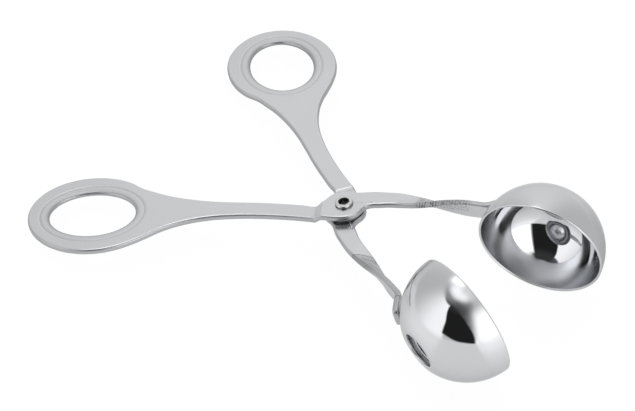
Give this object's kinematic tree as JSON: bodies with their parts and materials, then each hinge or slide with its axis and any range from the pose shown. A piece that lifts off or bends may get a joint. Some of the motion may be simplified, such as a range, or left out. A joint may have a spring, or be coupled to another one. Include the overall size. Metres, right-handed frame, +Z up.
{
  "type": "meatball tongs",
  "caption": "Scissor-action meatball tongs in stainless steel: looped handles cross on a screw pivot, and twisted jaw arms carry two hemispherical bowls with round vents.",
  "frame": {"origin": "middle of the underside, on the table that both finger rings and both bowls touch", "axes": "+Z up from the table, -Y towards the bowls, +Y towards the finger rings, with the half-open arms alike on both sides of the Y axis"},
  "size_m": [0.1464, 0.1928, 0.045],
  "materials": {
    "arm_steel": "satin polished stainless sheet",
    "bowl_steel": "mirror polished stainless",
    "pivot_steel": "turned and polished steel",
    "washer_steel": "plain rolled steel"
  },
  "bodies": {
    "upper_half": {"upper_arm": "arm_steel", "upper_bowl": "bowl_steel", "pivot_screw": "pivot_steel", "pivot_nut": "pivot_steel", "pivot_washer": "washer_steel"},
    "lower_half": {"lower_arm": "arm_steel", "lower_bowl": "bowl_steel"}
  },
  "joints": [
    {"name": "pivot", "type": "hinge", "parent": "upper_half", "child": "lower_half", "pos_m": [0, -0.0036, 0.01359], "axis": [0, 0.124, 0.9923], "range_deg": [-45, 30]}
  ]
}
